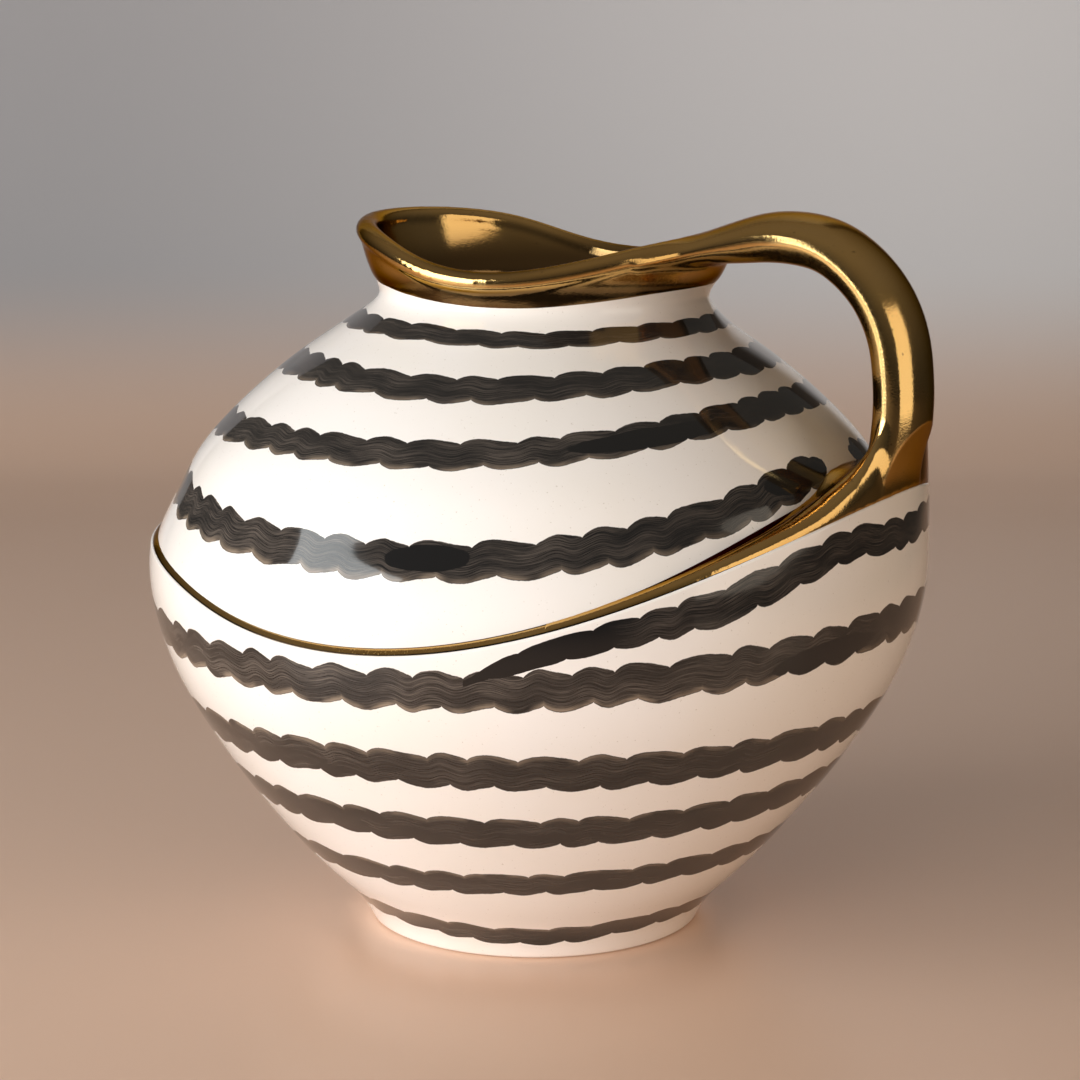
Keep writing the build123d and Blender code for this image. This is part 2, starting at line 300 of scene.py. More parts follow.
# a wing's section at an angle from the handle, as heights over the lip and places inwards from it:
# the flat facet outside, the round roll on its crest, and the hollow behind it that runs to the dome
wingShape = {
    "reach": 61, "sections": 245, "pointsAcross": 56, "lipGap": 0.35, "tuck": 0.55, "tuckFrom": 40,
    "readTo": 70, "readStep": 0.25, "readLead": 10, "easeOver": 11,
    "farShift": 7, "farShiftEnd": 60, "farShiftFade": 30, "farStraight": 0.45, "farStraightFrom": 6,
    "angle": [0, 5, 6.5, 7.5, 9, 11, 13, 15, 18, 21, 24, 27.5, 34, 42, 50, 62],
    "facet": [20, 17, 14.5, 12.4, 10, 8, 6.6, 5.4, 3.6, 2.4, 1.8, 1.3, 0.7, 0.35, 0.15, 0.0],
    "crest": [30, 30, 27.5, 22.5, 16.5, 13, 10.6, 8.8, 6.4, 4.9, 3.9, 3.3, 2.7, 2.2, 1.9, 1.45],
    "inset": [0.5, 0.6, 0.9, 1.3, 2.2, 3.2, 4.2, 4.9, 5.4, 5.4, 5.0, 4.6, 3.6, 2.9, 2.4, 1.9],
    "roll": [4.0, 4.0, 3.6, 3.8, 4.4, 4.6, 4.5, 4.3, 3.9, 3.5, 3.0, 2.6, 2.0, 1.4, 1.2, 1.0],
    "behind": [13, 12, 11.5, 11, 9.6, 7.8, 6.4, 5.4, 4.2, 3.3, 2.7, 2.3, 2.1, 2.0, 2.1, 2.05],
    "contact": [8.0, 7.8, 7.4, 7.0, 6.0, 4.8, 3.8, 3.1, 2.5, 2.1, 1.8, 1.6, 1.6, 1.8, 2.2, 2.15],
}


def wingRows():
    # read in straight steps and eased, so that no value swings past its neighbours
    step, lead, readTo = wingShape["readStep"], wingShape["readLead"], wingShape["readTo"]
    steps = np.arange(0, readTo, step)
    first = round(lead / step)
    window = np.hanning(wingShape["easeOver"])
    window = window / window.sum()
    at = {}
    for k in ("facet", "crest", "inset", "roll", "behind", "contact"):
        eased = np.interp(np.abs(np.arange(-lead, readTo + lead, step)), wingShape["angle"], wingShape[k])
        eased = np.convolve(eased, window, mode="same")[first:first + len(steps)]
        at[k] = lambda q, eased=eased: np.interp(q, steps, eased)
    loops = []
    for degrees in np.linspace(-wingShape["reach"], wingShape["reach"], wingShape["sections"]):
        a = math.radians(degrees)
        lip = float(lipAt(np.array([a]))[0])
        lipR = float(bowlRadius(lip) + bowlLean(lip) * math.cos(a)) - wingShape["lipGap"]
        # the root leans a little to the far side, so the far wing drops later than the near one
        shift = wingShape["farShift"]
        fade = np.clip((wingShape["farShiftEnd"] - degrees) / wingShape["farShiftFade"], 0, 1)
        reached = abs(degrees) - shift * np.clip(degrees / shift, 0, 1) * fade
        facet, crest, inset, roll, behind, contact = (
            float(at[k](reached)) for k in ("facet", "crest", "inset", "roll", "behind", "contact"))
        # the far wing stands straighter over the lip
        inset *= 1 - wingShape["farStraight"] * min(max(degrees / wingShape["farStraightFrom"], 0), 1)
        outer = lipR - wingShape["tuck"] * min(abs(degrees) / wingShape["tuckFrom"], 1) ** 2
        domeR = float(domeRadius(lip + contact))
        crestR = lipR - inset
        points = [
            (outer, lip - 3.0), (outer, lip - 0.6),
            (outer - 0.04 * inset, lip + 0.6 * facet), (outer - 0.14 * inset, lip + facet),
            (crestR + 0.55 * inset, lip + facet + 0.62 * (crest - facet)), (crestR, lip + crest),
            (crestR - roll, lip + behind + 0.62 * (crest - behind)),
            (crestR - roll - 0.4 * max(crestR - roll - domeR, 0.2), lip + contact + 0.5 * (behind - contact)),
            (domeR - 1.2, lip + contact - 0.2),
        ]
        run = np.concatenate([[0], np.cumsum([math.dist(p, q) for p, q in zip(points, points[1:])])])
        rs, zs = splineThrough(run, [p[0] for p in points]), splineThrough(run, [p[1] for p in points])
        s = np.linspace(0, run[-1], wingShape["pointsAcross"])
        r, z = np.append(rs(s), [domeR - 2.0, lipR - 3.0]), np.append(zs(s), [lip - 2.5, lip - 3.5])
        loops.append(np.stack([r * math.cos(a), r * math.sin(a), z], 1))
    return loops


goldParts = [
    meshOfRings("mouthPart", mouthRows(), closed=True),
    meshOfRings("handlePart", handleRows(), capStart=True, capEnd=True),
    meshOfRings("wingPart", wingRows(), capStart=True, capEnd=True),
]
castShape = {
    "voxel": 0.7, "easeRounds": 8, "blendRounds": 70, "lastRounds": 3, "easeShare": 0.5, "blendShare": 0.6,
    "sideInset": 0.25, "sideSlope": 0.03, "sideCurve": 0.012, "sideTop": 212, "underInset": 0.5,
}


# eases a mesh towards its neighbours' middle, each point as much as its share says
def easeMesh(mesh, rounds, share):
    spots = np.empty(len(mesh.vertices) * 3)
    mesh.vertices.foreach_get("co", spots)
    spots = spots.reshape(-1, 3)
    pairs = np.empty(len(mesh.edges) * 2, int)
    mesh.edges.foreach_get("vertices", pairs)
    one, other = pairs[::2], pairs[1::2]
    count = len(spots)
    neighbours = np.maximum(np.bincount(one, minlength=count) + np.bincount(other, minlength=count), 1)
    for step in range(rounds):
        middle = np.empty_like(spots)
        for axis in range(3):
            total = np.bincount(one, weights=spots[other, axis], minlength=count)
            total += np.bincount(other, weights=spots[one, axis], minlength=count)
            middle[:, axis] = total / neighbours
        spots += (middle - spots) * share[:, None]
    mesh.vertices.foreach_set("co", spots.ravel())
    mesh.update()


# places where forms run into each other: the handle's start on the rim, and its root between the wings
joinShape = {
    "rim": {"reach": 73, "deep": 9, "wide": 40, "height": 254, "high": 9},
    "root": {"reach": 139, "deep": 11, "wide": 34, "height": 186, "high": 14},
    "facetLean": 6, "facetReach": 137.5, "facetTop": 178,
}


def nearJoin(join, reach, y, z, power):
    deep = ((reach - join["reach"]) / join["deep"]) ** power
    return np.exp(-deep - (y / join["wide"]) ** 6 - ((z - join["height"]) / join["high"]) ** 4)


# how near each point of a mesh is to a join, leaving out the root's flat facet
def nearJoins(mesh):
    spots = np.empty(len(mesh.vertices) * 3)
    mesh.vertices.foreach_get("co", spots)
    x, y, z = spots.reshape(-1, 3).T / mm
    atRim = nearJoin(joinShape["rim"], x, y, z, 2)
    atRoot = nearJoin(joinShape["root"], np.hypot(x, y), y, z, 4)
    facetReach = np.hypot(x - joinShape["facetLean"], y)
    onFacet = np.clip(facetReach - joinShape["facetReach"], 0, 1) * (z < joinShape["facetTop"])
    return np.clip(atRim + atRoot * (1 - onFacet), 0, 1)


# keeps the root of the handle flush with the bowl's side, so that gold ends in a clean line on the lip
def trimToBowl(mesh):
    spots = np.empty(len(mesh.vertices) * 3)
    mesh.vertices.foreach_get("co", spots)
    spots = spots.reshape(-1, 3) / mm
    angle = np.arctan2(spots[:, 1], spots[:, 0])
    reach = np.hypot(spots[:, 0], spots[:, 1])
    lip = np.interp(angle % (2 * math.pi), np.append(turn, 2 * math.pi), np.append(lipHeight, lipHeight[0]))
    edge = bowlRadius(lip) + bowlLean(lip) * np.cos(angle) - castShape["sideInset"]
    over = np.maximum(spots[:, 2] - lip, 0)
    most = edge + castShape["sideSlope"] * over + castShape["sideCurve"] * over ** 2
    low = spots[:, 2] < castShape["sideTop"]
    most = np.where(spots[:, 2] > lip, most, edge - castShape["underInset"])
    new = np.where(low & (reach > most), most, reach)
    spots[:, 0] *= new / np.maximum(reach, 1)
    spots[:, 1] *= new / np.maximum(reach, 1)
    mesh.vertices.foreach_set("co", (spots * mm).ravel())
    mesh.update()


# puts parts together, remeshes them to one skin and eases it
def castTogether(name, parts):
    clay = bmesh.new()
    for part in parts:
        clay.from_mesh(part.data)
    bmesh.ops.recalc_face_normals(clay, faces=clay.faces)
    mesh = bpy.data.meshes.new(name + "Parts")
    clay.to_mesh(mesh)
    clay.free()
    for part in parts:
        bpy.data.objects.remove(part)
    lump = bpy.data.objects.new(name + "Parts", mesh)
    bpy.context.scene.collection.objects.link(lump)
    skin = lump.modifiers.new("skin", "REMESH")
    skin.mode = "VOXEL"
    skin.voxel_size = castShape["voxel"] * mm
    castMesh = bpy.data.meshes.new_from_object(lump.evaluated_get(bpy.context.evaluated_depsgraph_get()))
    castMesh.name = name
    everywhere = np.full(len(castMesh.vertices), castShape["easeShare"])
    easeMesh(castMesh, castShape["easeRounds"], everywhere)
    easeMesh(castMesh, castShape["blendRounds"], castShape["blendShare"] * nearJoins(castMesh))
    trimToBowl(castMesh)
    easeMesh(castMesh, castShape["lastRounds"], everywhere)
    for polygon in castMesh.polygons:
        polygon.use_smooth = True
    bpy.data.objects.remove(lump)
    cast = bpy.data.objects.new(name, castMesh)
    bpy.context.scene.collection.objects.link(cast)
    return cast


goldCast = castTogether("goldHandleAndMouth", goldParts)
print("gold form cast", len(goldCast.data.vertices))

# painted bands: heights each 30 degrees from the handle to the pouring end, half width, how pale they show
# each 60 degrees from -180 up, partly the brush's wear and partly painted light, paler away from the handle
# on the lit side and darkest at the handle, where shade falls, and the edge that the brush leaves thinner;
# the fourth stops either side of the handle
bands = {
    "first": {"on": "dome", "half": 4.3, "thinEdge": -1, "paleAndLit": [0.5, 0.5, 0.4, 0.2, 0.4, 0.5],
              "heights": [227.2, 226.9, 225.6, 226.4, 227.2, 227.6, 228]},
    "second": {"on": "dome", "half": 6.6, "thinEdge": -1, "paleAndLit": [0.5, 0.5, 0.45, 0.1, 0.4, 0.5],
               "heights": [215.0, 214.3, 211.6, 210.9, 212.4, 212.0, 211]},
    "third": {"on": "dome", "half": 6.2, "thinEdge": -1, "paleAndLit": [0.6, 0.7, 0.7, 0.05, 0.4, 0.6],
              "heights": [201.8, 199.0, 193.4, 191.3, 191.3, 190, 189.5]},
    "fourth": {"on": "dome", "half": 6.9, "thinEdge": -1, "paleAndLit": [0.9, 1.0, 0.6, 0.25, 0.5, 0.9],
               "heights": [182.8, 173.0, 161.9, 159.4, 162.6, 168.0, 171], "gap": 5.6, "gapEase": 5},
    "sixth": {"on": "bowl", "half": 7.4, "thinEdge": -1, "paleAndLit": [0.9, 1.0, 0.85, 0.45, 0.5, 0.9],
              "heights": [127.0, 123.4, 119.0, 117.0, 118.0, 120.5, 122]},
    "seventh": {"on": "bowl", "half": 8.1, "thinEdge": 1, "paleAndLit": [0.6, 0.7, 0.5, 0.4, 0.5, 0.6],
                "heights": [88.5, 88.0, 87.4, 87.2, 86.2, 86, 86]},
    "eighth": {"on": "bowl", "half": 7.9, "thinEdge": 1, "paleAndLit": [0.5, 0.5, 0.4, 0.4, 0.4, 0.5],
               "heights": [65.5, 63.6, 62.0, 61.5, 62.0, 62.5, 63]},
    "ninth": {"on": "bowl", "half": 6.6, "thinEdge": 1, "paleAndLit": [0.5, 0.6, 0.55, 0.4, 0.4, 0.5],
              "heights": [40.5, 39.8, 37.9, 37.0, 37.3, 38, 38.5]},
    "tenth": {"on": "bowl", "half": 5.4, "thinEdge": 1, "paleAndLit": [0.6, 0.7, 0.6, 0.3, 0.4, 0.6],
              "heights": [13.6, 13.2, 10.6, 12.0, 13.6, 14, 14]},
}
# the fifth band, a short one under the ledge on both sides of the handle: angles, heights, half widths
shortBand = {
    "angles": [0, 17, 22, 30, 37, 45, 54, 60, 66, 69.5, 75],
    "heights": [158.5, 158.8, 156.2, 150.4, 145.4, 141.0, 136.4, 132.4, 127.4, 123.6, 117.0],
    "half": [6.0, 6.1, 6.2, 6.7, 6.4, 5.6, 4.8, 4.4, 3.4, 1.6, 0.01],
    "widest": 74, "stop": 71.5, "reach": 146, "firstDab": 400,
}
# loaded brush marks, darker than the band under them: angle, height, half length, half height, tilt
loadedMarks = {
    "dome": [
        (-77.5, 160.6, 15.0, 4.6, 3), (-15.5, 179.6, 18.0, 4.9, 6), (15.5, 181.2, 16.0, 5.2, -6),
        (-40, 196.5, 30, 4.2, 7), (120, 162, 15, 4.6, 0),
    ],
    "bowl": [(-18, 122.5, 26, 5.0, 6), (-6, 158, 24, 5.0, 2), (30, 122, 22, 4.8, -6), (150, 87, 26, 5.0, 0)],
}
# a dab's length in millimetres, and distances that stand for places far off any band, gap or mark
brushRun = {
    "dabLength": 17.5, "dabsApart": 37, "offBand": 99.0, "inGap": 50.0, "offShort": 40.0, "offMark": 9.0,
}


# the way along a piece's side at a height, from its low end
def profileRun(radius, low, high):
    z = np.linspace(low, high, 600)
    r = radius(z)
    run = np.concatenate([[0], np.cumsum(np.hypot(np.diff(z), np.diff(r)))])
    return lambda q: np.interp(q, z, run)


bowlRun, domeRun = profileRun(bowlRadius, 0, 180), profileRun(domeRadius, 122, 268)


# place across a band, as a share of its half width
def bandPlace(angle, run, heights, half, runAt, radiusAt):
    z = heights(angle)
    slope = (runAt(heights(angle + 1)) - runAt(heights(angle - 1))) / (2 * math.radians(1) * radiusAt(z))
    return (run - runAt(z)) / np.sqrt(1 + slope ** 2) / half


# for each corner of a piece: dabs along the band, place across it, distance from it, and its paleness, which
# is partly painted light
def paintOn(piece, part):
    mesh = piece.data
    spots = np.empty(len(mesh.vertices) * 3)
    mesh.vertices.foreach_get("co", spots)
    spots = spots.reshape(-1, 3) / mm
    corners = np.empty(len(mesh.loops), int)
    mesh.loops.foreach_get("vertex_index", corners)
    angle = np.degrees(np.arctan2(spots[:, 1], spots[:, 0]))[corners]
    starts = np.array([p.loop_start for p in mesh.polygons])
    owner = np.repeat(np.arange(len(starts)), [p.loop_total for p in mesh.polygons])
    first = angle[starts][owner]
    angle = np.where(angle - first > 180, angle - 360, np.where(first - angle > 180, angle + 360, angle))
    height = spots[corners, 2]
    runAt, radiusAt = (domeRun, domeRadius) if part == "dome" else (bowlRun, bowlRadius)
    run = runAt(height)
    best = np.full(len(corners), brushRun["offBand"])
    dab, across, paleAndLit, thin = (np.zeros(len(corners)) for k in range(4))
    for order, band in enumerate(bands.values()):
        if band["on"] != part:
            continue
        half = np.full(len(corners), band["half"])
        if "gap" in band:
            half = half * np.clip((np.abs(angle) - band["gap"]) / band["gapEase"], 0.02, 1) ** 0.5
        away = bandPlace(angle, run, roundTheJar(band["heights"]), half, runAt, radiusAt)
        if "gap" in band:
            away = np.where(np.abs(angle) < band["gap"], brushRun["inGap"], away)
        girth = 2 * math.pi * float(radiusAt(np.mean(band["heights"][:4])))
        count = round(girth / brushRun["dabLength"])
        nearer = np.abs(away) < best
        best = np.where(nearer, np.abs(away), best)
        across = np.where(nearer, away, across)
        dab = np.where(nearer, angle / 360 * count + brushRun["dabsApart"] * order, dab)
        # paleness by angle, partly the brush's wear and partly painted light: paler on the lit side, darker
        # towards the handle in shade
        tones = band["paleAndLit"] + band["paleAndLit"][:1]
        tone = np.interp((angle + 180) % 360, [0, 60, 120, 180, 240, 300, 360], tones)
        paleAndLit, thin = np.where(nearer, tone, paleAndLit), np.where(nearer, band["thinEdge"], thin)
    # marks of the loaded brush, as a distance from each mark's middle
    mark = np.full(len(corners), brushRun["offMark"])
    for middle, z, long, high, tilt in loadedMarks[part]:
        apart = (angle - middle + 180) % 360 - 180
        along = np.radians(apart) * radiusAt(z)
        up = run - runAt(z)
        c, t = math.cos(math.radians(tilt)), math.sin(math.radians(tilt))
        mark = np.minimum(mark, np.hypot((along * c + up * t) / long, (up * c - along * t) / high))
    # the short band, alike on both sides of the handle
    wrapped = (angle + 180) % 360 - 180
    near = np.clip(np.abs(wrapped), 0, shortBand["widest"])
    half = np.interp(near, shortBand["angles"], shortBand["half"])
    bothSides = [-q for q in shortBand["angles"][:0:-1]] + shortBand["angles"]
    curve = splineThrough(bothSides, shortBand["heights"][:0:-1] + shortBand["heights"])
    off = brushRun["offShort"]
    short = np.full(len(corners), off)
    if part == "bowl":
        short = bandPlace(wrapped, run, curve, half, runAt, radiusAt)
    short = np.where(near > shortBand["stop"], np.where(short < 0, -off, off), np.clip(short, -off, off))
    shortCount = round(2 * math.pi * shortBand["reach"] / brushRun["dabLength"])
    shortDab = wrapped / 360 * shortCount + shortBand["firstDab"]
    for label, parts in (
        ("brushPlace", (dab, np.clip(across, -20, 20), np.clip(best, 0, 20))),
        ("brushTone", (paleAndLit, thin, mark)), ("shortBrush", (shortDab, short, np.abs(short))),
    ):
        made = mesh.attributes.new(label, "FLOAT_VECTOR", "CORNER")
        made.data.foreach_set("vector", np.stack(parts, 1).ravel())


paintOn(lowerBowl, "bowl")
paintOn(domeAndNeck, "dome")
print("bands laid out")


# a material to fill, and short ways to add its nodes
class Maker:
    def __init__(self, name):
        self.material = bpy.data.materials.new(name)
        self.material.use_nodes = True
        self.tree = self.material.node_tree
        self.shader = self.tree.nodes["Principled BSDF"]

    def node(self, kind, **settings):
        made = self.tree.nodes.new(kind)
        for key, value in settings.items():
            setattr(made, key, value)
        return made

    def put(self, socket, value):
        if hasattr(value, "is_output"):
            self.tree.links.new(value, socket)
        else:
            socket.default_value = value

    def calc(self, operation, *values, clamp=False):
        made = self.node("ShaderNodeMath", operation=operation, use_clamp=clamp)
        for socket, value in zip(made.inputs, values):
            self.put(socket, value)
        return made.outputs[0]

    def plus(self, first, second):
        return self.calc("ADD", first, second)

    def less(self, first, second):
        return self.calc("SUBTRACT", first, second)

    def times(self, first, second, clamp=False):
        return self.calc("MULTIPLY", first, second, clamp=clamp)

    # the sine of a number of whole turns
    def wave(self, turns):
        return self.calc("SINE", self.times(turns, 2 * math.pi))

    def ramp(self, value, low, high, start=0.0, end=1.0):
        made = self.node("ShaderNodeMapRange", interpolation_type="SMOOTHSTEP")
        settings = {"Value": value, "From Min": low, "From Max": high, "To Min": start, "To Max": end}
        for key, item in settings.items():
            self.put(made.inputs[key], item)
        return made.outputs[0]

    def noise(self, vector, scale, detail=2.0, rough=0.5):
        made = self.node("ShaderNodeTexNoise")
        self.put(made.inputs["Vector"], vector)
        made.inputs["Scale"].default_value = scale
        made.inputs["Detail"].default_value = detail
        made.inputs["Roughness"].default_value = rough
        return made.outputs["Fac"]

    # noise at a place given by its three coordinates
    def streaks(self, x, y, z, detail, rough=0.5):
        spot = self.node("ShaderNodeCombineXYZ")
        for socket, value in zip(spot.inputs, (x, y, z)):
            self.put(socket, value)
        return self.noise(spot.outputs[0], 1.0, detail, rough)

    def apart(self, vector):
        split = self.node("ShaderNodeSeparateXYZ")
        self.put(split.inputs[0], vector)
        return split.outputs

    def mix(self, amount, first, second):
        made = self.node("ShaderNodeMix", data_type="RGBA")
        self.put(made.inputs[0], amount)
        self.put(made.inputs[6], first)
        self.put(made.inputs[7], second)
        return made.outputs[2]

    def bump(self, height, strength, distance):
        made = self.node("ShaderNodeBump")
        made.inputs["Strength"].default_value = strength
        made.inputs["Distance"].default_value = distance
        self.put(made.inputs["Height"], height)
        self.tree.links.new(made.outputs[0], self.shader.inputs["Normal"])


glazeLook = {
    "cream": (0.90, 0.836, 0.787, 1), "shade": (0.88, 0.808, 0.738, 1), "speck": (0.42, 0.32, 0.23, 1),
    "cloudScale": 14.0, "speckScale": 1100.0, "reliefScale": 160.0, "paintRelief": 0.25,
    "gloss": 0.07, "ior": 1.5, "coat": 0.3, "coatGloss": 0.03,
}
brushLook = {
    # ink, the lighter streak colour and the thin-paint colour; the band's paleness lays the last two on
    # partly as painted light
    "ink": (0.0085, 0.0082, 0.0085, 1), "wornAndLit": (0.11, 0.088, 0.073, 1), "thin": (0.36, 0.27, 0.195, 1),
    "wander": 1.6, "swing": 0.03, "drySwing": 0.075, "hairSwing": -0.07, "reach": 1.27,
    "edge": 0.61, "lobe": 0.25, "lobeRound": 0.55, "lobeLean": 0.06, "swell": 0.30, "rag": 0.08,
    "lobes": ((0.12, 3.0), (0.62, 7.0)),   # how far the upper and lower lobes are shifted, and their noise
    "shortSeed": 6.0, "shortInk": (392.2, 393.6), "shortPale": 0.6, "markRag": 0.45,
}


# one brushed band: where it covers, how thin the paint lies there, and where the glaze shows through; the
# last two follow the band's paleness, which is partly painted light
def brushBand(m, dab, across, away, paleAndLit, thinEdge, seed):
    wobble = m.streaks(m.times(dab, 0.45), seed, 0.0, 2.0)
    u = m.plus(dab, m.times(m.less(wobble, 0.5), brushLook["wander"]))
    # the whole band swings a little with each dab, more where the band is paler
    swing = m.times(m.wave(u), m.plus(brushLook["swing"], m.times(paleAndLit, brushLook["drySwing"])))
    swung = m.less(across, swing)
    edges = []
    for shift, salt in brushLook["lobes"]:
        shifted = m.plus(u, shift)
        turned = m.plus(shifted, m.times(m.wave(shifted), brushLook["lobeLean"]))
        lobe = m.calc("ABSOLUTE", m.calc("SINE", m.times(turned, math.pi)))
        lobe = m.calc("POWER", lobe, brushLook["lobeRound"])
        swell = m.streaks(m.times(dab, 0.8), salt, seed, 1.0)
        bulge = m.plus(brushLook["edge"], m.times(lobe, brushLook["lobe"]))
        edges.append(m.plus(bulge, m.times(swell, brushLook["swell"])))
    upper, lower = edges
    over = m.calc("GREATER_THAN", swung, 0.0)
    edge = m.plus(m.times(upper, over), m.times(lower, m.less(1.0, over)))
    rag = m.streaks(m.times(dab, 9.0), m.times(across, 1.5), seed, 3.0, 0.6)
    gap = m.less(edge, m.calc("ABSOLUTE", swung))
    inside = m.plus(gap, m.times(m.less(rag, 0.5), brushLook["rag"]))
    mask = m.times(m.ramp(inside, 0.0, 0.035), m.calc("LESS_THAN", away, brushLook["reach"]))
    # hairs of the brush follow the swing, each a fine dark line on the thinner paint between them
    lane = m.plus(swung, m.times(m.wave(m.plus(u, 0.05)), brushLook["hairSwing"]))
    hairs = m.streaks(m.times(lane, 9.0), m.times(dab, 0.55), seed, 5.0, 0.75)
    fine = m.streaks(m.times(lane, 30.0), m.times(dab, 1.3), seed + 5, 2.0, 0.7)
    patchy = m.ramp(m.streaks(m.times(dab, 0.8), m.times(swung, 0.9), seed + 2, 2.0), 0.32, 0.66)
    wornAndLit = m.plus(m.times(m.ramp(fine, 0.42, 0.62), 0.8), m.times(m.ramp(hairs, 0.44, 0.62), 0.7))
    wornAndLit = m.times(wornAndLit, m.plus(0.4, m.times(patchy, 0.6)))
    # painted light, in part: the lighter streaks show more where the band is paler, on its lit side
    wornAndLit = m.times(wornAndLit, paleAndLit, clamp=True)
    # on the dry edge the tips of the dabs are see-through
    onThinEdge = m.ramp(m.times(swung, thinEdge), 0.2, 0.7)
    bareAndLit = m.times(m.ramp(inside, 0.40, 0.05), onThinEdge)
    bareAndLit = m.times(bareAndLit, m.ramp(m.streaks(m.times(dab, 1.4), seed, 4.0, 1.0), 0.36, 0.58))
    # the see-through tips also show more where the band is paler, which is partly painted light
    bareAndLit = m.times(m.times(bareAndLit, m.plus(0.2, fine)), paleAndLit, clamp=True)
    # a dark rim stays where the paint pooled at the very edge
    bareAndLit = m.times(bareAndLit, m.ramp(inside, 0.02, 0.08))
    return mask, wornAndLit, bareAndLit


def makeGlaze(name, painted):
    m = Maker(name)
    place = m.node("ShaderNodeTexCoord").outputs["Object"]
    cloud = m.ramp(m.noise(place, glazeLook["cloudScale"], 3.0), 0.35, 0.7)
    colour = m.mix(cloud, glazeLook["cream"], glazeLook["shade"])
    specks = m.ramp(m.noise(place, glazeLook["speckScale"], 1.0), 0.72, 0.79)
    colour = m.mix(m.times(specks, 0.4), colour, glazeLook["speck"])
    relief = m.noise(place, glazeLook["reliefScale"], 2.0)
    if painted:
        sets = []
        for label in ("brushPlace", "brushTone", "shortBrush"):
            sets.append(m.apart(m.node("ShaderNodeAttribute", attribute_name=label).outputs["Vector"]))
        (dab, across, away), (paleAndLit, thinEdge, mark), (shortDab, shortAcross, shortAway) = sets
        mask, wornAndLit, bareAndLit = brushBand(m, dab, across, away, paleAndLit, thinEdge, 1.0)
        # lighter streaks and see-through tips, laid on more where the band is paler, partly as painted light
        paint = m.mix(wornAndLit, brushLook["ink"], brushLook["wornAndLit"])
        paint = m.mix(bareAndLit, paint, brushLook["thin"])
        ragged = m.times(m.less(m.noise(place, 90.0, 2.0), 0.5), brushLook["markRag"])
        loaded = m.ramp(m.plus(mark, ragged), 1.02, 0.97)
        paint = m.mix(loaded, paint, brushLook["ink"])
        colour = m.mix(mask, colour, paint)
        # the short band starts as solid ink
        shortPale = m.ramp(shortDab, *brushLook["shortInk"], 0.0, brushLook["shortPale"])
        shortMask, shortWorn = brushBand(
            m, shortDab, shortAcross, shortAway, shortPale, -1.0, brushLook["shortSeed"])[:2]
        paint = m.mix(shortWorn, brushLook["ink"], brushLook["wornAndLit"])
        colour = m.mix(shortMask, colour, paint)
        relief = m.plus(relief, m.times(m.calc("MAXIMUM", mask, shortMask), glazeLook["paintRelief"]))
    m.put(m.shader.inputs["Base Color"], colour)
    m.shader.inputs["Roughness"].default_value = glazeLook["gloss"]
    m.shader.inputs["IOR"].default_value = glazeLook["ior"]
    m.shader.inputs["Coat Weight"].default_value = glazeLook["coat"]
    m.shader.inputs["Coat Roughness"].default_value = glazeLook["coatGloss"]
    m.bump(relief, 0.05, 0.0004)
    return m.material


# lengths here are in metres, as the shader sees them
goldLook = {
    "bright": (0.80, 0.53, 0.21, 1), "deep": (0.70, 0.43, 0.15, 1), "pit": (0.16, 0.09, 0.04, 1),
    "edgeShade": (0.030, 0.018, 0.010, 1), "shadeUmber": (0.20, 0.12, 0.05, 1), "edgeTint": (0.42, 0.30, 0.20, 1),
    "neckLean": 0.005, "neckReach": 0.0635, "neckEase": 0.003, "neckHeights": (0.258, 0.242),
    "washScale": 22.0, "pitScale": 700.0, "hazeScale": 1400.0, "dullScale": 11.0, "speckleScale": 900.0,
    "gloss": 0.07, "haze": 0.07, "speckle": 0.22, "dentScale": 60.0,
}


def makeGold(name, edgeShaded=False):
    m = Maker(name)
    place = m.node("ShaderNodeTexCoord").outputs["Object"]
    wash = m.ramp(m.noise(place, goldLook["washScale"], 3.0), 0.3, 0.7)
    colour = m.mix(wash, goldLook["bright"], goldLook["deep"])
    pits = m.ramp(m.noise(place, goldLook["pitScale"], 1.0), 0.73, 0.8)
    colour = m.mix(m.times(pits, 0.6), colour, goldLook["pit"])
    if edgeShaded:
        # painted shade: the gold line is darkened along both edges, where its rounded edges would reflect
        # dark
        edge = m.node("ShaderNodeAttribute", attribute_name="lineEdge").outputs["Fac"]
        colour = m.mix(m.ramp(edge, 0.62, 0.86), colour, goldLook["edgeShade"])
    else:
        # painted shade: the gold is darkened to umber inside the mouth and on the neck under the roll, where
        # shade falls
        x, y, z = m.apart(place)
        off = m.less(x, goldLook["neckLean"])
        reach = m.calc("SQRT", m.plus(m.times(off, off), m.times(y, y)))
        neckShade = m.ramp(reach, goldLook["neckReach"] + goldLook["neckEase"], goldLook["neckReach"])
        neckShade = m.times(neckShade, m.ramp(z, *goldLook["neckHeights"]))
        colour = m.mix(neckShade, colour, goldLook["shadeUmber"])
    m.put(m.shader.inputs["Base Color"], colour)
    m.shader.inputs["Specular Tint"].default_value = goldLook["edgeTint"]   # darker where seen edge on
    m.shader.inputs["Metallic"].default_value = 1.0
    haze = m.noise(place, goldLook["hazeScale"], 2.0)
    dull = m.ramp(m.noise(place, goldLook["dullScale"], 2.0), 0.45, 0.7)
    speckle = m.ramp(m.noise(place, goldLook["speckleScale"], 3.0, 0.7), 0.35, 0.75)
    rubbed = m.times(m.times(speckle, dull), goldLook["speckle"])
    grain = m.plus(m.times(haze, goldLook["haze"]), rubbed)
    m.put(m.shader.inputs["Roughness"], m.plus(goldLook["gloss"], grain))
    m.bump(m.plus(haze, m.times(m.noise(place, goldLook["dentScale"], 2.0), 2.0)), 0.10, 0.0003)
    return m.material


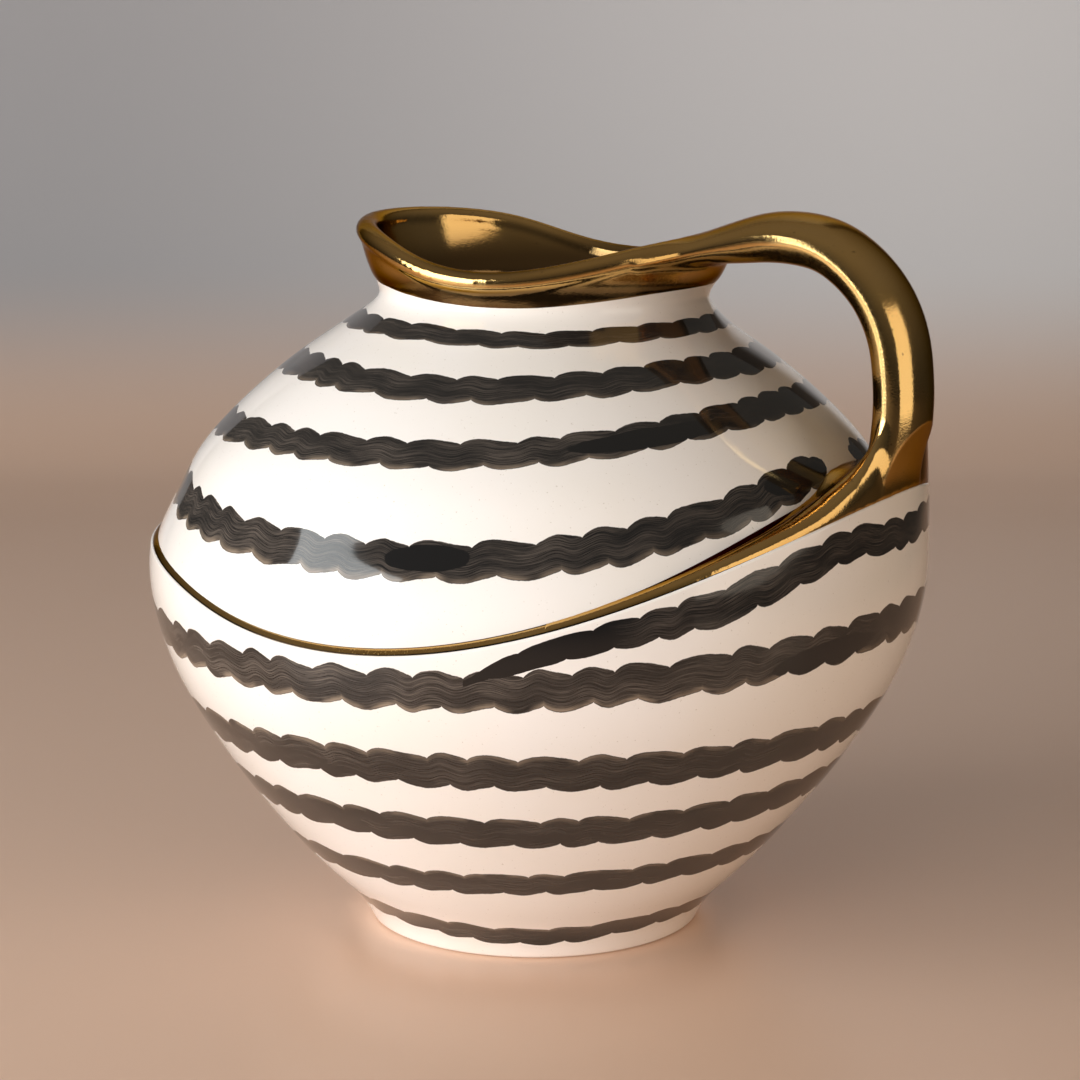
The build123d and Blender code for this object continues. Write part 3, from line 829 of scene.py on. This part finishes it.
glaze, plainGlaze = makeGlaze("paintedGlaze", True), makeGlaze("plainGlaze", False)
gold, goldLine = makeGold("goldLustre"), makeGold("goldLine", edgeShaded=True)
for piece, material in (
    (footBase, plainGlaze), (lowerBowl, glaze), (domeAndNeck, glaze), (ridgeBead, goldLine), (goldCast, gold),
):
    piece.data.materials.clear()
    piece.data.materials.append(material)
for piece, slotName, nodes in (
    (footBase, "cream_glaze", ["foot"]), (lowerBowl, "cream_glaze", ["lower_bowl"]),
    (domeAndNeck, "cream_glaze", ["shoulder_dome", "neck"]), (ridgeBead, "gold_lustre", ["ridge_bead"]),
    (goldCast, "gold_lustre", ["rim_roll", "handle", "root_wing_front", "root_wing_back"]),
):
    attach(piece, "root")
    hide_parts(*nodes)
print("materials made")

# studio: floor and backdrop in one sweep, lamps, world and camera; turned to face the camera
studio = {
    "turn": 28, "front": -2.4, "floorEnd": 0.85, "floorHalf": 3.0, "wallHalf": 0.85, "wallTop": 2.4,
    "coveStart": 0.9, "coveRound": 0.5, "roughness": 0.32,
    # the dark floor colour and the wall's darker left side are painted shade
    "floor": (0.80, 0.545, 0.40, 1), "roomShade": (0.10, 0.08, 0.065, 1),
    "wallLeft": (0.45, 0.44, 0.455, 1), "wallRight": (0.84, 0.83, 0.85, 1),
    "frontFade": (0.22, 0.85), "wallFade": (0.0, 0.14), "sideFade": (0.5, 0.72), "alongWall": (-0.45, 0.45),
    "skyLow": (0.035, 0.032, 0.03, 1), "skyHigh": (0.17, 0.15, 0.125, 1), "skyFrom": -0.05, "skyTo": 0.9,
    "worldStrength": 1.0,
    "camera": (0.4873, -0.9165, 0.3375), "aimPitch": 10.64, "lens": 94.07, "sensor": 36, "shift": 0.0046,
}
coveStart, coveRound = studio["coveStart"], studio["coveRound"]
stations = [(studio["front"], 0, studio["floorHalf"]), (studio["floorEnd"], 0, studio["floorHalf"])]
for a in np.linspace(0.1, math.pi / 2, 12):
    y, z = coveStart + coveRound * math.sin(a), coveRound - coveRound * math.cos(a)
    stations.append((y, z, studio["wallHalf"]))
stations.append((coveStart + coveRound, studio["wallTop"], studio["wallHalf"]))
sweep = []
for y, z, half in stations:
    sweep += [(-half, y, z), (half, y, z)]
backMesh = bpy.data.meshes.new("studioSweep")
quads = [(2 * i, 2 * i + 1, 2 * i + 3, 2 * i + 2) for i in range(len(stations) - 1)]
backMesh.from_pydata(sweep, [], quads)
for polygon in backMesh.polygons:
    polygon.use_smooth = True
studioSweep = bpy.data.objects.new("studioSweep", backMesh)
bpy.context.scene.collection.objects.link(studioSweep)
studioSweep.rotation_euler = (0, 0, math.radians(studio["turn"]))
# pale floor and wall, with painted shade: darker out of view on the camera's side and at the right, standing
# for a room in shade, and the wall painted darker at its left than at its right, as the light falls off
paper = Maker("studioPaint")
x, y, z = paper.apart(paper.node("ShaderNodeTexCoord").outputs["Object"])
towardsFront = paper.ramp(paper.times(y, -1.0), *studio["frontFade"])
ground = paper.mix(towardsFront, studio["floor"], studio["roomShade"])
# painted light on the wall: darker at its left, lighter at its right
wall = paper.mix(paper.ramp(x, *studio["alongWall"]), studio["wallLeft"], studio["wallRight"])
inView = paper.mix(paper.ramp(z, *studio["wallFade"]), ground, wall)
shade = paper.mix(paper.ramp(x, *studio["sideFade"]), inView, studio["roomShade"])
paper.put(paper.shader.inputs["Base Color"], shade)
paper.shader.inputs["Roughness"].default_value = studio["roughness"]
backMesh.materials.append(paper.material)


# area lamps by their angle from the camera's side, their distance, height and size in metres, and watts;
# the fills aren't mirrored, and the side lamp only shows as a reflection, as sideFill gives its light
lamps = {
    "windowLamp": {"degrees": -62, "distance": 1.5, "height": 0.56, "size": (1.0, 1.1), "power": 16.0,
                   "colour": (0.94, 0.99, 1)},
    "sideLamp": {"degrees": 60, "distance": 0.85, "height": 0.33, "size": (0.64, 0.6), "power": 1.35,
                 "colour": (1, 0.88, 0.72), "lights": False},
    "sideFill": {"degrees": 66, "distance": 1.6, "height": 0.38, "size": (1.3, 0.8), "power": 7.8,
                 "colour": (1, 0.84, 0.66), "aim": 0.12, "mirrored": False},
    "leftFill": {"degrees": -38, "distance": 1.9, "height": 0.28, "size": (1.0, 0.8), "power": 25.5,
                 "colour": (0.97, 0.985, 1), "aim": 0.1, "mirrored": False},
    "frontFill": {"degrees": -10, "distance": 1.9, "height": 0.26, "size": (1.0, 0.5), "power": 4.8,
                  "colour": (1, 0.95, 0.91), "aim": 0.1, "mirrored": False},
    "topFill": {"degrees": -75, "distance": 1.4, "height": 1.15, "size": (0.8, 0.8), "power": 2.6,
                "colour": (1, 0.97, 0.95), "aim": 0.18, "mirrored": False},
}


def placeLamp(name, degrees, distance, height, size, power, colour, aim=0.15, mirrored=True, lights=True):
    data = bpy.data.lights.new(name, "AREA")
    data.shape = "RECTANGLE"
    data.size, data.size_y = size
    data.energy = power
    data.color = colour
    lampObject = bpy.data.objects.new(name, data)
    bpy.context.scene.collection.objects.link(lampObject)
    a = math.radians(studio["turn"] - 90 + degrees)
    lampObject.location = (distance * math.cos(a), distance * math.sin(a), height)
    towards = Vector((0, 0, aim)) - lampObject.location
    lampObject.rotation_euler = towards.to_track_quat("-Z", "Y").to_euler()
    lampObject.visible_glossy = mirrored
    lampObject.visible_diffuse = lights


for name, values in lamps.items():
    placeLamp(name, **values)

# the world is a little lighter overhead than at its horizon
world = bpy.data.worlds.new("studioWorld")
bpy.context.scene.world = world
world.use_nodes = True
sky = world.node_tree
way = sky.nodes.new("ShaderNodeTexCoord")
split = sky.nodes.new("ShaderNodeSeparateXYZ")
rise = sky.nodes.new("ShaderNodeMapRange")
rise.inputs["From Min"].default_value = studio["skyFrom"]
rise.inputs["From Max"].default_value = studio["skyTo"]
tint = sky.nodes.new("ShaderNodeMix")
tint.data_type = "RGBA"
tint.inputs[6].default_value, tint.inputs[7].default_value = studio["skyLow"], studio["skyHigh"]
sky.links.new(way.outputs["Generated"], split.inputs[0])
sky.links.new(split.outputs[2], rise.inputs["Value"])
sky.links.new(rise.outputs[0], tint.inputs[0])
sky.links.new(tint.outputs[2], sky.nodes["Background"].inputs[0])
sky.nodes["Background"].inputs[1].default_value = studio["worldStrength"]

cameraData = bpy.data.cameras.new("camera")
camera = bpy.data.objects.new("camera", cameraData)
bpy.context.scene.collection.objects.link(camera)
camera.location = studio["camera"]
camera.rotation_euler = (math.radians(90 - studio["aimPitch"]), 0, math.radians(studio["turn"]))
cameraData.lens = studio["lens"]
cameraData.sensor_width = studio["sensor"]
cameraData.shift_x = studio["shift"]
bpy.context.scene.camera = camera
bpy.context.scene.view_settings.view_transform = "Standard"
print("studio set")
